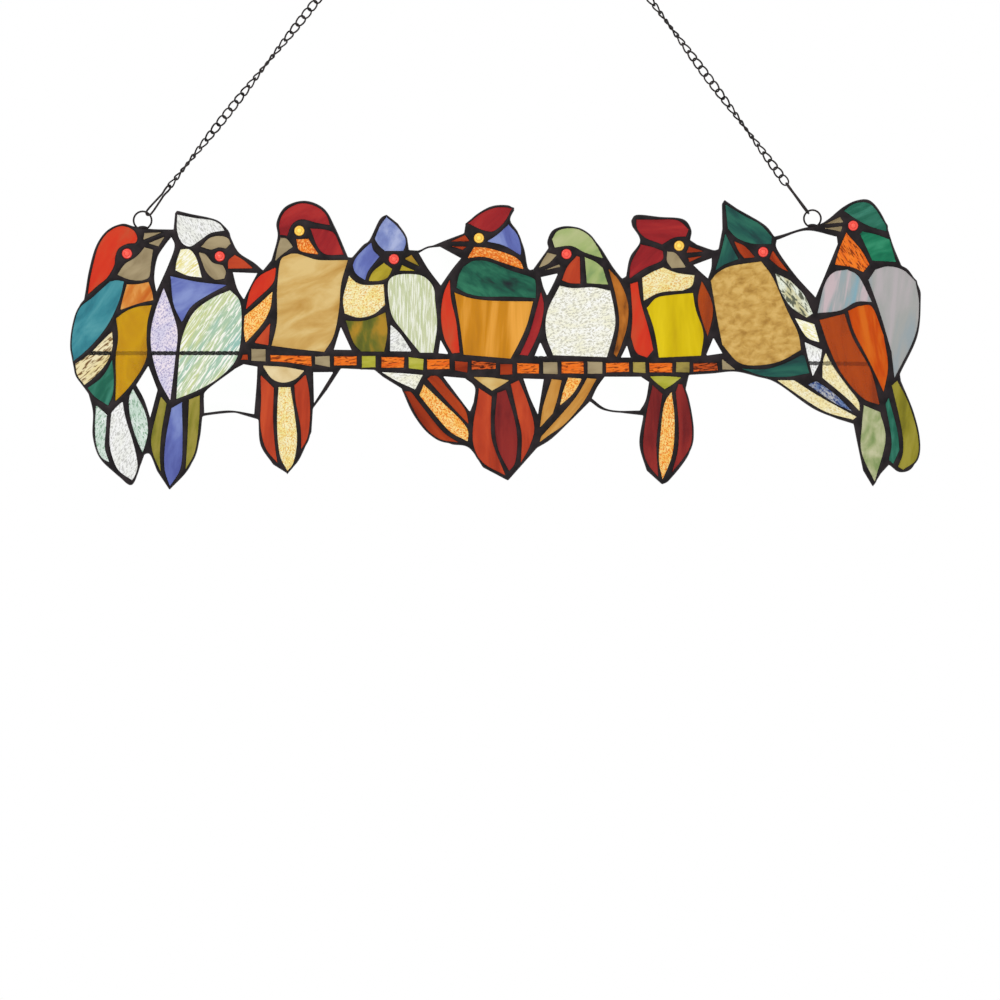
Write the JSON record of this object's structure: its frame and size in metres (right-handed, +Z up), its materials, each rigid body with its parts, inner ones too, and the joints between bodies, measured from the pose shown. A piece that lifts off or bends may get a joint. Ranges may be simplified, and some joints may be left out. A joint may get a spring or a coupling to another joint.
{
  "type": "stained glass panel",
  "caption": "Leaded stained glass panel of birds side by side on a tiled perch, hung from one point by a V of chain on two wire rings.",
  "frame": {"origin": "middle of the chain's top link, the point the panel hangs from", "axes": "+X along the perch to the right seen from the front, -Y out of the panel's front face, +Z up"},
  "size_m": [0.6121, 0.0084, 0.5132],
  "materials": {
    "amber_glass": "sheet glass, lightly rippled",
    "beige_glass": "sheet glass, lightly rippled",
    "blue_glass": "sheet glass, lightly rippled",
    "clear_glass": "sheet glass, lightly rippled",
    "dark_red_glass": "sheet glass, lightly rippled",
    "dark_wire": "blackened drawn wire, satin",
    "gold_glass": "sheet glass, lightly rippled",
    "green_glass": "sheet glass, lightly rippled",
    "lavender_glass": "sheet glass, lightly rippled",
    "olive_glass": "sheet glass, lightly rippled",
    "opal_glass": "sheet glass, lightly rippled",
    "orange_glass": "sheet glass, lightly rippled",
    "orange_red_glass": "sheet glass, lightly rippled",
    "pale_green_glass": "sheet glass, lightly rippled",
    "patinated_lead": "blackened solder over lead and foil, dull sheen",
    "red_eye_glass": "smooth domed drop",
    "red_glass": "sheet glass, lightly rippled",
    "ripple_glass": "sheet glass, lightly rippled",
    "teal_glass": "sheet glass, lightly rippled",
    "yellow_eye_glass": "smooth domed drop",
    "yellow_glass": "sheet glass, lightly rippled"
  },
  "bodies": {
    "root": {"bird_1_belly": "amber_glass", "bird_1_cap": "orange_red_glass", "bird_1_eye": "red_eye_glass", "bird_1_grain_feather": "ripple_glass", "bird_1_tail_mid": "ripple_glass", "bird_1_wing": "teal_glass", "bird_2_chest": "blue_glass", "bird_2_crown": "ripple_glass", "bird_2_eye": "red_eye_glass", "bird_2_left_wing": "lavender_glass", "bird_2_right_wing": "ripple_glass", "bird_2_tail_mid": "blue_glass", "bird_3_body": "beige_glass", "bird_3_eye": "yellow_eye_glass", "bird_3_tail_left": "red_glass", "bird_3_tail_mid": "gold_glass", "bird_4_belly": "olive_glass", "bird_4_chest": "ripple_glass", "bird_4_eye": "red_eye_glass", "bird_4_tail_mid": "gold_glass", "bird_4_wing": "ripple_glass", "bird_5_belly": "amber_glass", "bird_5_chest": "green_glass", "bird_5_eye": "yellow_eye_glass", "bird_5_tail_left": "orange_red_glass", "bird_5_tail_mid": "dark_red_glass", "bird_6_belly": "ripple_glass", "bird_6_eye": "red_eye_glass", "bird_7_belly": "yellow_glass", "bird_7_chest": "gold_glass", "bird_7_crest": "red_glass", "bird_7_eye": "yellow_eye_glass", "bird_7_left_wing": "red_glass", "bird_7_tail_left": "dark_red_glass", "bird_7_tail_mid": "gold_glass", "bird_7_tail_right": "dark_red_glass", "bird_8_body": "beige_glass", "bird_8_crest": "green_glass", "bird_8_eye": "red_eye_glass", "bird_9_body_left": "orange_glass", "bird_9_body_right": "orange_glass", "bird_9_chest": "opal_glass", "bird_9_eye": "red_eye_glass", "bird_9_tail_left": "pale_green_glass", "bird_9_tail_right": "olive_glass", "bird_9_wing": "opal_glass", "brace_wire": "dark_wire", "chain_left": "dark_wire", "chain_right": "dark_wire", "chain_top_link": "dark_wire", "hook_left": "dark_wire", "hook_right": "dark_wire", "infill_neck_8_9": "clear_glass", "infill_tail_2_3": "clear_glass", "infill_tail_6_7": "clear_glass", "lead_lines": "patinated_lead", "ring_left": "dark_wire", "ring_right": "dark_wire"}
  },
  "joints": []
}
